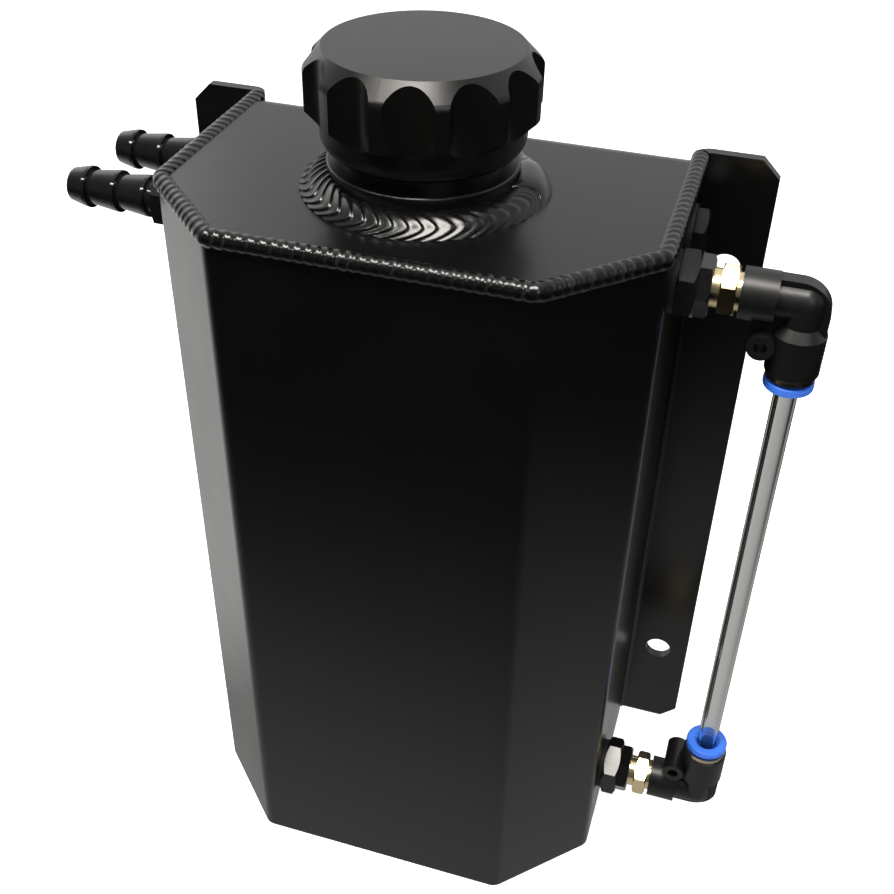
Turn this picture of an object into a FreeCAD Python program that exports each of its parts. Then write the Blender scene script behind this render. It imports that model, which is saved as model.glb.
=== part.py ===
import FreeCAD, Part

import os
import re

import Sketcher

# A welded aluminium coolant expansion tank. X runs to the right, Y to the back where the
# mounting ears are, Z up. The origin is the middle of the base, halfway between the front
# face and the front of the ears. All sizes are in millimetres.

SIZES = {
    # folded sheet body
    "body_width": 128.5,
    "body_depth": 85,
    "body_height": 220,
    "corner_cut": 24.8,
    "wall": 3,
    "bend_radius": 1.5,
    "fold_radius": 5,
    "plate_lap": 1.5,
    "fold_relief": 1,
    # mounting ears
    "ear_reach": 19.75,
    "ear_corner": 5,
    "ear_hole_dia": 8.5,
    "ear_hole_inset": 10,
    "ear_hole_low": 36.5,
    "ear_hole_drop": 32.5,
    # weld beads
    "bead_cover": 0.4,
    "bead_proud": 1.3,
    "seam_leg": 2,
    "seam_rise": 2.1,
    "seam_round": 4,
    "neck_bead_width": 7.6,
    "neck_bead_rise": 4,
    "neck_bead_round": 6.5,
    "blob_turn": 6,
    "blob_across": 9.6,
    "blob_along": 11,
    "blob_rise": 5,
    # filler neck
    "thread_dia": 34,
    "thread_depth": 1.4,
    "spigot_dia": 38,
    "spigot_fit": 0.1,
    "spigot_tail": 2,
    "neck_dia": 46.4,
    "neck_rise": 5.8,
    "lip_dia": 47.6,
    "lip_thick": 1.4,
    "lip_round": 0.45,
    "boss_dia": 39.7,
    "boss_rise": 2.5,
    # filler cap
    "cap_dia": 57,
    "cap_gap": 0.3,
    "cap_height": 25,
    "cap_chamfer": 4.5,
    "cap_edge_round": 2.5,
    "cap_base_dia": 41,
    "skirt_dia": 50.2,
    "skirt_height": 7.5,
    "grip_foot": 10.6,
    "scallop_dia": 14.2,
    "scallop_floor": 24.8,
    "scallop_count": 12,
    "scallop_turn": -79,
    "plug_length": 10.5,
    "plug_lead": 1,
    "seal_dia": 36.8,
    "seal_section": 2.2,
    "seal_gap": 0.1,
    # ports in the side walls
    "port_dia": 13,
    "port_fit": 0.1,
    "port_front": -2,
    "port_rear": 24,
    "port_drop": 14.5,
    "port_low": 23.5,
    "bung_dia": 20,
    "bung_length": 7,
    "washer_dia": 15.6,
    "washer_thick": 1.2,
    # hose barbs
    "barb_hex": 14,
    "barb_hex_length": 7,
    "barb_start": 11.25,
    "barb_pitch": 8.75,
    "barb_count": 3,
    "barb_dia": 11.2,
    "barb_waist": 9.1,
    "barb_land": 0.9,
    "barb_tip_dia": 8.8,
    "barb_tip_length": 5.9,
    "barb_tip_round": 0.8,
    "barb_bore": 6.8,
    # blanking plug
    "plug_hex": 13,
    "plug_hex_length": 3.4,
    "plug_socket": 6,
    "plug_socket_depth": 2.4,
    # gauge adaptors and studs
    "adaptor_hex": 16,
    "adaptor_hex_length": 4.8,
    "lock_hex": 13.4,
    "lock_hex_length": 3.3,
    "stud_thread": 9.7,
    "stud_fit": 0.1,
    "stud_engage": 6,
    "stud_gap": 1.9,
    "stud_hex": 12,
    "stud_hex_length": 4,
    "stud_neck": 9.6,
    "stud_neck_length": 1,
    "spigot_pin": 7.2,
    "spigot_pin_length": 6.3,
    "flow_bore": 4.2,
    # push-fit elbows
    "elbow_reach": 31.35,
    "elbow_barrel": 12.8,
    "elbow_barrel_length": 8.5,
    "elbow_tube": 9.6,
    "socket_dia": 13.4,
    "socket_end": 19.2,
    "socket_lip": 0.5,
    "cone_start": 5.6,
    "cone_end": 8,
    "web_thick": 4.2,
    "web_rise": 5.9,
    "web_corner": 8,
    "eye_drop": 11,
    "eye_out": 23.05,
    "eye_dia": 6.6,
    "eye_hole": 3.2,
    "eye_length": 12.4,
    # push-fit cartridges and sight tube
    "tube_dia": 6,
    "tube_bore": 4,
    "tube_fit": 0.1,
    "tube_stop": 5,
    "seal_seat": 8.5,
    "seal_chamber": 9.4,
    "seal_length": 3.2,
    "grip_seat": 12,
    "grip_thick": 0.6,
    "sleeve_dia": 11.2,
    "sleeve_bore": 9.1,
    "sleeve_fit": 0.05,
    "sleeve_flange": 12.3,
    "sleeve_flange_thick": 1.2,
    "collar_dia": 12.5,
    "collar_thick": 2.3,
    "collar_gap": 0.9,
    "collar_stem_fit": 0.2,
    "collar_stem_length": 7.2,
    "collar_mouth": 8,
    "collar_round": 0.6,
}

doc = FreeCAD.newDocument("coolant_tank")
sheet = doc.addObject("Spreadsheet::Sheet", "Sizes")
for row, (size_name, size) in enumerate(SIZES.items(), start=1):
    sheet.set(f"A{row}", size_name)
    sheet.set(f"B{row}", str(size))
    sheet.setAlias(f"B{row}", size_name)
doc.recompute()

NEAR = 1e-4
FULL_TURN = 360
HALF_WIDTH = "(body_width / 2)"
HALF_DEPTH = "(body_depth / 2)"
BEND_OUTER = "(bend_radius + wall)"
FOLD_OUTER = "(fold_radius + wall)"
NECK_TOP = "(body_height + neck_rise + lip_thick + boss_rise)"
PORT_HIGH = "(body_height - port_drop)"
PORT_INNER_END = "(-wall - bung_length)"
ADAPTOR_FACE = "(washer_thick + adaptor_hex_length + lock_hex_length)"
STUD_HEX_START = f"({ADAPTOR_FACE} + stud_gap)"
STUD_HEX_END = f"({STUD_HEX_START} + stud_hex_length)"
ELBOW_START = f"({STUD_HEX_END} + stud_neck_length)"
ELBOW_BARREL_END = f"({ELBOW_START} + elbow_barrel_length)"
SLEEVE_START = "(grip_seat + grip_thick)"
SLEEVE_END = "(socket_end + sleeve_flange_thick)"
COLLAR_FOOT = f"({SLEEVE_END} + collar_gap)"
sub_parts = []


def formula(text):
    """The text with the name of every size pointed at its cell."""
    return re.sub(r"[a-z_]+", lambda word: f"Sizes.{word[0]}" if word[0] in SIZES else word[0], str(text))


def value(text):
    return float(sheet.evalExpression(formula(text)))


def bind(thing, path, text):
    thing.setExpression(path, formula(text))


def start_body(label):
    body = doc.addObject("PartDesign::Body", label)
    body.Label = label
    sub_parts.append(body)
    return body


def sketch_on(body, role, lift="0", along="0"):
    """An empty sketch on one of the body's own planes, lifted off it and shifted up its second axis."""
    sketch = body.newObject("Sketcher::SketchObject", "Sketch")
    plane = next(plane for plane in body.Origin.OriginFeatures if plane.Role == role)
    sketch.AttachmentSupport = [(plane, "")]
    sketch.MapMode = "FlatFace"
    bind(sketch, "AttachmentOffset.Base.y", along)
    bind(sketch, "AttachmentOffset.Base.z", lift)
    return sketch


def arc_between(start, stop, radius, turn):
    """The shorter arc from start to stop, turning left or right on the way."""
    chord = stop - start
    to_centre = FreeCAD.Vector(-chord.y, chord.x, 0).normalize()
    if turn == "right":
        to_centre = -to_centre
    depth = max(radius**2 - chord.Length**2 / 4, 0) ** 0.5
    centre = (start + stop) / 2 + to_centre * depth
    circle = Part.Circle(centre, FreeCAD.Vector(0, 0, 1), radius)
    first, last = (start, stop) if turn == "left" else (stop, start)
    return Part.ArcOfCircle(circle, circle.parameter(first), circle.parameter(last))


def place_point(sketch, edge, end, across, up):
    for kind, text in (("DistanceX", across), ("DistanceY", up)):
        number = sketch.addConstraint(Sketcher.Constraint(kind, -1, 1, edge, end, value(text)))
        bind(sketch, f"Constraints[{number}]", text)


def set_radius(sketch, edge, radius):
    number = sketch.addConstraint(Sketcher.Constraint("Radius", edge, value(radius)))
    bind(sketch, f"Constraints[{number}]", radius)


def outline(sketch, corners, closed=True):
    """Edges through the corners. A corner is (x, y), or (x, y, radius, turn) where an arc leaves it."""
    spots = [FreeCAD.Vector(value(corner[0]), value(corner[1]), 0) for corner in corners]
    edge_total = len(corners) if closed else len(corners) - 1
    edges = []
    for index in range(edge_total):
        start = spots[index]
        stop = spots[(index + 1) % len(spots)]
        shape = corners[index][2:]
        if shape:
            curve = arc_between(start, stop, value(shape[0]), shape[1])
        else:
            curve = Part.LineSegment(start, stop)
        backwards = shape and shape[1] == "right"
        edges.append((sketch.addGeometry(curve), *((2, 1) if backwards else (1, 2))))
    for index, (edge, first, last) in enumerate(edges):
        place_point(sketch, edge, first, *corners[index][:2])
        if corners[index][2:]:
            set_radius(sketch, edge, corners[index][2])
        if closed or index + 1 < edge_total:
            following, its_first, _ = edges[(index + 1) % edge_total]
            sketch.addConstraint(Sketcher.Constraint("Coincident", edge, last, following, its_first))
        else:
            place_point(sketch, edge, last, *corners[-1][:2])
    return sketch


def circles(sketch, rounds):
    """Whole circles, each given as (x, y, radius)."""
    for across, up, radius in rounds:
        centre = FreeCAD.Vector(value(across), value(up), 0)
        edge = sketch.addGeometry(Part.Circle(centre, FreeCAD.Vector(0, 0, 1), value(radius)))
        place_point(sketch, edge, 3, across, up)
        set_radius(sketch, edge, radius)
    return sketch


def pad(body, sketch, length, symmetric=False):
    feature = body.newObject("PartDesign::Pad", "Pad")
    feature.Profile = sketch
    feature.Midplane = symmetric
    bind(feature, "Length", length)
    doc.recompute()
    return feature


def pocket(body, sketch, length=None, symmetric=False, upwards=False):
    """A cut against the sketch's normal, or along it when upwards; right through without a length."""
    before = body.Shape.Volume
    feature = body.newObject("PartDesign::Pocket", "Pocket")
    feature.Profile = sketch
    feature.Midplane = symmetric
    feature.Reversed = upwards
    if length is None:
        feature.Type = "ThroughAll"
    else:
        bind(feature, "Length", length)
    doc.recompute()
    if not feature.Shape.Volume < before:
        raise RuntimeError(f"a pocket of {body.Label} cuts nothing")
    return feature


def revolve(body, sketch, axis="V_Axis"):
    feature = body.newObject("PartDesign::Revolution", "Revolution")
    feature.Profile = sketch
    feature.ReferenceAxis = (sketch, [axis])
    feature.Angle = FULL_TURN
    doc.recompute()
    return feature


def groove(body, sketch, axis="V_Axis"):
    before = body.Shape.Volume
    feature = body.newObject("PartDesign::Groove", "Groove")
    feature.Profile = sketch
    feature.ReferenceAxis = (sketch, [axis])
    feature.Angle = FULL_TURN
    doc.recompute()
    if not feature.Shape.Volume < before:
        raise RuntimeError(f"a groove of {body.Label} cuts nothing")
    return feature


def straight_edges(feature, along, spots):
    """Names of the straight edges along an axis that stand at the given places on the other two."""
    others = [axis for axis in range(3) if axis != "xyz".index(along)]
    wanted = [tuple(value(text) for text in spot) for spot in spots]
    names = []
    for number, edge in enumerate(feature.Shape.Edges, start=1):
        if edge.Curve.TypeId != "Part::GeomLine":
            continue
        ends = [tuple(vertex.Point[axis] for axis in others) for vertex in edge.Vertexes]
        for spot in wanted:
            if all(abs(end[0] - spot[0]) < NEAR and abs(end[1] - spot[1]) < NEAR for end in ends):
                names.append(f"Edge{number}")
    if len(names) < len(spots):
        raise RuntimeError(f"{feature.Label} lacks an edge that is to be rounded")
    return names


def ring_edges(feature, rings):
    """Names of the circular edges about Z with the given (radius, height)."""
    wanted = [tuple(value(text) for text in ring) for ring in rings]
    names = []
    for number, edge in enumerate(feature.Shape.Edges, start=1):
        if edge.Curve.TypeId != "Part::GeomCircle":
            continue
        for radius, height in wanted:
            if abs(edge.Curve.Radius - radius) < NEAR and abs(edge.Curve.Center.z - height) < NEAR:
                names.append(f"Edge{number}")
    if len(names) < len(rings):
        raise RuntimeError(f"{feature.Label} lacks a ring that is to be rounded")
    return names


def fillet(body, feature, names, radius):
    rounded = body.newObject("PartDesign::Fillet", "Fillet")
    rounded.Base = (feature, names)
    bind(rounded, "Radius", radius)
    doc.recompute()
    return rounded


def chamfer(body, feature, names, leg):
    cut = body.newObject("PartDesign::Chamfer", "Chamfer")
    cut.Base = (feature, names)
    bind(cut, "Size", leg)
    doc.recompute()
    return cut


def mirrored(corners):
    """The same corners on the left half, in the order that carries a loop on."""
    return [(f"-({across})", up) for across, up in reversed(corners)]


def both_sides(spots):
    return spots + mirrored(spots)


def front_corners(inset="0"):
    """The two plan corners of the right corner cut, moved in by the inset on all sides."""
    shift = f"tan(22.5) * ({inset})"
    return [
        (f"{HALF_WIDTH} - ({inset})", f"-{HALF_DEPTH} + corner_cut + {shift}"),
        (f"{HALF_WIDTH} - corner_cut - {shift}", f"-{HALF_DEPTH} + ({inset})"),
    ]


def build_shell_wrap():
    """One sheet folded into front, corner cuts, sides and ears, standing on the base plate."""
    body = start_body("shell_wrap")
    ear_end = f"{HALF_WIDTH} + ear_reach"
    ear_root = (HALF_WIDTH, HALF_DEPTH)
    ear_back = (f"{HALF_WIDTH} - wall", f"{HALF_DEPTH} + wall")
    outside = [(ear_end, HALF_DEPTH), ear_root, *front_corners()]
    inside = [*reversed(front_corners("wall")), ear_back, (ear_end, f"{HALF_DEPTH} + wall")]
    profile = outline(
        sketch_on(body, "XY_Plane", lift="wall"), [*both_sides(outside), *mirrored(inside), *inside]
    )
    sheet_pad = pad(body, profile, "body_height - wall")
    outer_bends = both_sides([ear_back, *front_corners()])
    inner_bends = both_sides([ear_root, *front_corners("wall")])
    bent = fillet(body, sheet_pad, straight_edges(sheet_pad, "z", outer_bends), BEND_OUTER)
    bent = fillet(body, bent, straight_edges(bent, "z", inner_bends), "bend_radius")
    ear_corners = [(side + f"({ear_end})", up) for side in ("", "-") for up in ("wall", "body_height")]
    chamfer(body, bent, straight_edges(bent, "y", ear_corners), "ear_corner")

    # The walls stop under the top plate; the ears keep the full height.
    trim_end = f"{HALF_DEPTH} - bend_radius"
    trim = [(HALF_WIDTH, trim_end), (HALF_WIDTH, f"-{HALF_DEPTH}")]
    pocket(body, outline(sketch_on(body, "XY_Plane", lift="body_height"), both_sides(trim)), "wall")

    hole_across = f"({HALF_WIDTH} + ear_reach - ear_hole_inset)"
    ear_holes = [
        (side + hole_across, up, "ear_hole_dia / 2")
        for side in ("", "-")
        for up in ("ear_hole_low", "body_height - ear_hole_drop")
    ]
    pocket(body, circles(sketch_on(body, "XZ_Plane"), ear_holes), symmetric=True)
    for on_right in (True, False):
        holes = [(across, up, "port_dia / 2") for _, right, across, up in PORTS if right == on_right]
        pocket(body, circles(sketch_on(body, "YZ_Plane"), holes), upwards=on_right)


def build_top_back_panel():
    """One sheet folded over the back edge: the back fits between the sides, the top laps on them."""
    body = start_body("top_back_panel")
    fold_start = f"{HALF_DEPTH} - {FOLD_OUTER}"
    fold_level = f"body_height - {FOLD_OUTER}"
    under = "body_height - wall"
    inner_face = f"{HALF_DEPTH} - wall"
    fold = [
        ("0", under),
        (fold_start, under, "fold_radius", "right"),
        (inner_face, fold_level),
        (inner_face, "wall"),
        (HALF_DEPTH, "wall"),
        (HALF_DEPTH, fold_level, FOLD_OUTER, "left"),
        (fold_start, "body_height"),
        ("0", "body_height"),
    ]
    pad(body, outline(sketch_on(body, "YZ_Plane"), fold), "body_width - 2 * wall", symmetric=True)
    lap_end = (f"{HALF_WIDTH} - plate_lap", f"{fold_start} - fold_relief")
    corners = front_corners("plate_lap")
    plate = both_sides([lap_end, *corners])
    top = pad(body, outline(sketch_on(body, "XY_Plane", lift=under), plate), "wall")
    fillet(body, top, straight_edges(top, "z", both_sides(corners)), f"{BEND_OUTER} - plate_lap")
    neck_hole = [("0", "0", "spigot_dia / 2 + spigot_fit")]
    pocket(body, circles(sketch_on(body, "XY_Plane", lift="body_height"), neck_hole), "wall")


def build_base_plate():
    body = start_body("base_plate")
    corners = front_corners()
    plan = both_sides([(HALF_WIDTH, HALF_DEPTH), *corners])
    plate = pad(body, outline(sketch_on(body, "XY_Plane"), plan), "wall")
    fillet(body, plate, straight_edges(plate, "z", both_sides(corners)), BEND_OUTER)


def build_top_seam_weld():
    """A round bead swept along the open corner between the wall and the top plate."""
    body = start_body("top_seam_weld")
    run = f"({BEND_OUTER} * tan(22.5))"
    slant = f"({run} / sqrt(2))"
    (side_x, side_y), (front_x, front_y) = front_corners()
    seam_end = f"{HALF_DEPTH} - bend_radius"
    route = [
        (HALF_WIDTH, seam_end),
        (side_x, f"{side_y} + {run}", BEND_OUTER, "right"),
        (f"{side_x} - {slant}", f"{side_y} - {slant}"),
        (f"{front_x} + {slant}", f"{front_y} + {slant}", BEND_OUTER, "right"),
        (f"{front_x} - {run}", front_y),
        (f"-({front_x} - {run})", front_y, BEND_OUTER, "right"),
        (f"-({front_x} + {slant})", f"{front_y} + {slant}"),
        (f"-({side_x} - {slant})", f"{side_y} - {slant}", BEND_OUTER, "right"),
        (f"-{HALF_WIDTH}", f"{side_y} + {run}"),
        (f"-{HALF_WIDTH}", seam_end),
    ]
    spine = outline(sketch_on(body, "XY_Plane", lift="body_height"), route, closed=False)
    leg = "(wall + bead_cover)"
    inset = f"({leg} + bead_proud - sqrt(2 * bead_proud * ({leg} + bead_proud)))"
    radius = f"({inset} + bead_proud)"
    crown = f"({radius} * cos(45) - {inset})"
    section = [
        (f"{HALF_WIDTH} - plate_lap", "body_height"),
        (f"{HALF_WIDTH} - plate_lap", "body_height - wall"),
        (HALF_WIDTH, "body_height - wall"),
        (HALF_WIDTH, f"body_height - {leg}", radius, "left"),
        (f"{HALF_WIDTH} + {crown}", f"body_height + {crown}", radius, "left"),
        (f"{HALF_WIDTH} - {leg}", "body_height"),
    ]
    bead = body.newObject("PartDesign::AdditivePipe", "Bead")
    bead.Profile = outline(sketch_on(body, "XZ_Plane", lift=f"-({seam_end})"), section)
    bead.Spine = spine
    doc.recompute()


def build_rear_seam(label, side):
    """An upright bead in the groove between the back panel and the ear's bend."""
    body = start_body(label)
    bend_x = f"({HALF_WIDTH} + bend_radius)"
    on_bend = f"{bend_x} - sqrt({BEND_OUTER}^2 - bend_radius^2)"
    top_on_bend = f"{bend_x} - sqrt({BEND_OUTER}^2 - (bend_radius + seam_rise)^2)"
    turns = {1: ("right", "left"), -1: ("left", "right")}[side]
    section = [
        (f"{side} * ({HALF_WIDTH} - wall - seam_leg)", HALF_DEPTH),
        (f"{side} * ({on_bend})", HALF_DEPTH, BEND_OUTER, turns[0]),
        (f"{side} * ({top_on_bend})", f"{HALF_DEPTH} + seam_rise", "seam_round", turns[1]),
    ]
    bead = outline(sketch_on(body, "XY_Plane", lift="wall"), section)
    pad(body, bead, f"body_height - wall - {FOLD_OUTER}")


def build_filler_neck():
    """Turned neck: a spigot in the plate's hole, a collar to weld to, a lip and the cap's seat."""
    body = start_body("filler_neck")
    foot = "body_height - wall - spigot_tail"
    lip_low = "body_height + neck_rise"
    lip_high = "body_height + neck_rise + lip_thick"
    profile = [
        ("thread_dia / 2", foot),
        ("spigot_dia / 2", foot),
        ("spigot_dia / 2", "body_height"),
        ("neck_dia / 2", "body_height"),
        ("neck_dia / 2", lip_low),
        ("lip_dia / 2", lip_low),
        ("lip_dia / 2", lip_high),
        ("boss_dia / 2", lip_high),
        ("boss_dia / 2", NECK_TOP),
        ("thread_dia / 2", NECK_TOP),
    ]
    turned = revolve(body, outline(sketch_on(body, "XZ_Plane"), profile))
    fillet(body, turned, ring_edges(turned, [("lip_dia / 2", lip_low), ("lip_dia / 2", lip_high)]), "lip_round")


def build_neck_weld():
    """A wide round bead on the plate against the neck, with a swell where the weld ends."""
    body = start_body("neck_weld")
    bead = [
        ("neck_dia / 2", "body_height"),
        ("neck_dia / 2 + neck_bead_width", "body_height", "neck_bead_round", "left"),
        ("neck_dia / 2", "body_height + neck_bead_rise"),
    ]
    revolve(body, outline(sketch_on(body, "XZ_Plane"), bead))
    blob = body.newObject("PartDesign::AdditiveEllipsoid", "Blob")
    bind(blob, "Radius1", "blob_rise")
    bind(blob, "Radius2", "blob_across / 2")
    bind(blob, "Radius3", "blob_along / 2")
    blob_out = "(neck_dia / 2 + neck_bead_width / 2)"
    bind(blob, "Placement.Base.x", f"{blob_out} * cos(blob_turn)")
    bind(blob, "Placement.Base.y", f"{blob_out} * sin(blob_turn)")
    bind(blob, "Placement.Base.z", "body_height")
    bind(blob, "Placement.Rotation.Angle", "blob_turn")
    doc.recompute()
    below = [("0", "0", "neck_dia / 2 + 2 * neck_bead_width")]
    pocket(body, circles(sketch_on(body, "XY_Plane", lift="body_height"), below))
    inside = [("0", "0", "neck_dia / 2")]
    pocket(body, circles(sketch_on(body, "XY_Plane", lift="body_height"), inside), upwards=True)


def build_filler_cap():
    """Turned cap with a scalloped grip; its height is measured from the top of the neck."""
    body = start_body("filler_cap")
    plug_radius = "(thread_dia / 2 - thread_depth)"
    groove_half = "(seal_section / 2 + seal_gap)"
    groove_top = "(seal_section + 2 * seal_gap)"
    skirt_round = "((skirt_dia - cap_base_dia) / 2)"
    grip_top = "(cap_height - cap_chamfer)"
    profile = [
        ("0", "-plug_length"),
        (f"{plug_radius} - plug_lead", "-plug_length"),
        (plug_radius, "plug_lead - plug_length"),
        (plug_radius, "cap_gap"),
        (f"seal_dia / 2 - {groove_half}", "cap_gap"),
        (f"seal_dia / 2 - {groove_half}", groove_top),
        (f"seal_dia / 2 + {groove_half}", groove_top),
        (f"seal_dia / 2 + {groove_half}", "cap_gap"),
        ("cap_base_dia / 2", "cap_gap", skirt_round, "left"),
        ("skirt_dia / 2", f"cap_gap + {skirt_round}"),
        ("skirt_dia / 2", "skirt_height"),
        ("cap_dia / 2", "grip_foot"),
        ("cap_dia / 2", grip_top),
        ("cap_dia / 2 - cap_chamfer", "cap_height"),
        ("0", "cap_height"),
    ]
    turned = revolve(body, outline(sketch_on(body, "XZ_Plane"), profile))
    fillet(body, turned, ring_edges(turned, [("cap_dia / 2", grip_top)]), "cap_edge_round")
    out = "(scallop_floor + scallop_dia / 2)"
    half_step = "(180 / scallop_count)"
    scallop = [(f"{out} * cos({half_step})", f"{out} * sin({half_step})", "scallop_dia / 2")]
    first = pocket(body, circles(sketch_on(body, "XY_Plane", lift="skirt_height"), scallop), upwards=True)
    pattern = body.newObject("PartDesign::PolarPattern", "Scallops")
    pattern.Originals = [first]
    pattern.Axis = (next(axis for axis in body.Origin.OriginFeatures if axis.Role == "Z_Axis"), [""])
    pattern.Angle = FULL_TURN
    bind(pattern, "Occurrences", "scallop_count")
    body.Tip = pattern
    doc.recompute()
    bind(body, "Placement.Base.z", NECK_TOP)
    bind(body, "Placement.Rotation.Angle", f"scallop_turn - {half_step}")


def build_cap_oring():
    ring = doc.addObject("Part::Torus", "cap_oring")
    ring.Label = "cap_oring"
    bind(ring, "Radius1", "seal_dia / 2")
    bind(ring, "Radius2", "seal_section / 2")
    bind(ring, "Placement.Base.z", f"{NECK_TOP} + seal_gap + seal_section / 2")
    sub_parts.append(ring)


# Each port: name, whether it is in the right wall, and its place along Y and Z. A piece on a
# port is modelled with its own Z along the port, from the wall's outer face outwards.
PORTS = [
    ("gauge_upper", True, "port_front", PORT_HIGH),
    ("gauge_lower", True, "port_front", "port_low"),
    ("plug", True, "port_rear", PORT_HIGH),
    ("barb_front", False, "port_front", PORT_HIGH),
    ("barb_rear", False, "port_rear", PORT_HIGH),
]
QUARTER_TURN = 90
HALF_TURN = 180


def set_on_port(body, port_name, spin=0):
    """Turn a piece from its own Z onto a port, after a spin about that axis."""
    _, on_right, along_y, along_z = next(port for port in PORTS if port[0] == port_name)
    side = 1 if on_right else -1
    onto_wall = FreeCAD.Rotation(FreeCAD.Vector(0, 1, 0), side * QUARTER_TURN)
    about_port = FreeCAD.Rotation(FreeCAD.Vector(0, 0, 1), spin)
    body.Placement = FreeCAD.Placement(FreeCAD.Vector(), onto_wall * about_port)
    bind(body, "Placement.Base.x", f"{side} * {HALF_WIDTH}")
    bind(body, "Placement.Base.y", along_y)
    bind(body, "Placement.Base.z", along_z)


def hexagon(across_flats, spin=0):
    """Corners of a hexagon, the first on X before the spin in degrees."""
    corner = f"({across_flats} / sqrt(3))"
    angles = [60 * number + spin for number in range(6)]
    return [(f"{corner} * cos({angle})", f"{corner} * sin({angle})") for angle in angles]


def add_hex(body, across_flats, start, length, ends, spin=0):
    """A hexagon along Z whose corners are turned off at 30 degrees at the named ends."""
    pad(body, outline(sketch_on(body, "XY_Plane", lift=start), hexagon(across_flats, spin)), length)
    flat = f"({across_flats} / 2)"
    corner = f"({across_flats} / sqrt(3))"
    drop = f"(({corner} - {flat}) * tan(30))"
    for end in ends:
        face, inwards = (f"{start} + {length}", "-") if end == "outer" else (start, "+")
        turned_off = [
            (flat, face),
            (corner, f"{face} {inwards} {drop}"),
            (f"{corner} + {flat}", f"{face} {inwards} {drop}"),
            (f"{corner} + {flat}", face),
        ]
        groove(body, outline(sketch_on(body, "XZ_Plane"), turned_off))


def add_shank(body):
    """The plain thread that goes through the wall into the bung."""
    shank = [("0", "0", "port_dia / 2 - port_fit")]
    end = circles(sketch_on(body, "XY_Plane", lift=PORT_INNER_END), shank)
    pad(body, end, f"washer_thick - {PORT_INNER_END}")


def build_ring(label, inner, outer, start, length):
    """A plain ring about its own Z."""
    body = start_body(label)
    rim = [("0", "0", outer), ("0", "0", inner)]
    pad(body, circles(sketch_on(body, "XY_Plane", lift=start), rim), length)
    return body


def build_barb(label, port_name):
    """Hose barb: hexagon on the washer, then ridges that slope towards the tip."""
    body = start_body(label)
    add_shank(body)
    add_hex(body, "barb_hex", "washer_thick", "barb_hex_length", ["outer"])
    count = int(value("barb_count"))
    profile = [("0", "washer_thick"), ("barb_waist / 2", "washer_thick")]
    for number in range(count):
        step = f"barb_start + {number} * barb_pitch"
        profile += [
            ("barb_waist / 2", step),
            ("barb_dia / 2", step),
            ("barb_dia / 2", f"{step} + barb_land"),
        ]
    tip = f"barb_start + {count - 1} * barb_pitch + barb_tip_length"
    profile += [("barb_tip_dia / 2", tip), ("0", tip)]
    ridged = revolve(body, outline(sketch_on(body, "XZ_Plane"), profile))
    fillet(body, ridged, ring_edges(ridged, [("barb_tip_dia / 2", tip)]), "barb_tip_round")
    bore = [("0", "0", "barb_bore / 2")]
    pocket(body, circles(sketch_on(body, "XY_Plane"), bore), symmetric=True)
    set_on_port(body, port_name)


def build_port_plug(label, port_name):
    body = start_body(label)
    add_shank(body)
    add_hex(body, "plug_hex", "washer_thick", "plug_hex_length", ["outer"])
    face = "washer_thick + plug_hex_length"
    socket = outline(sketch_on(body, "XY_Plane", lift=face), hexagon("plug_socket"))
    pocket(body, socket, "plug_socket_depth")
    set_on_port(body, port_name)


def build_adaptor(label, port_name):
    """Bored adaptor: a large hexagon on the washer and a smaller one, turned, outside it."""
    body = start_body(label)
    add_shank(body)
    add_hex(body, "adaptor_hex", "washer_thick", "adaptor_hex_length", ["outer", "inner"])
    lock_start = "(washer_thick + adaptor_hex_length)"
    add_hex(body, "lock_hex", lock_start, "lock_hex_length", ["outer"], spin=30)
    bore = [("0", "0", "stud_thread / 2 + stud_fit")]
    pocket(body, circles(sketch_on(body, "XY_Plane"), bore), symmetric=True)
    set_on_port(body, port_name)


def build_stud(label, port_name):
    """Brass stud: thread in the adaptor, hexagon, and the pin that the elbow is moulded on."""
    body = start_body(label)
    thread_end = f"({ADAPTOR_FACE} - stud_engage)"
    turned = [
        ("0", thread_end),
        ("stud_thread / 2", thread_end),
        ("stud_thread / 2", STUD_HEX_START),
        ("stud_neck / 2", STUD_HEX_START),
        ("stud_neck / 2", ELBOW_START),
        ("spigot_pin / 2", ELBOW_START),
        ("spigot_pin / 2", f"{ELBOW_START} + spigot_pin_length"),
        ("0", f"{ELBOW_START} + spigot_pin_length"),
    ]
    revolve(body, outline(sketch_on(body, "XZ_Plane"), turned))
    add_hex(body, "stud_hex", STUD_HEX_START, "stud_hex_length", ["outer", "inner"])
    bore = [("0", "0", "flow_bore / 2")]
    pocket(body, circles(sketch_on(body, "XY_Plane"), bore), symmetric=True)
    set_on_port(body, port_name)


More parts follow.
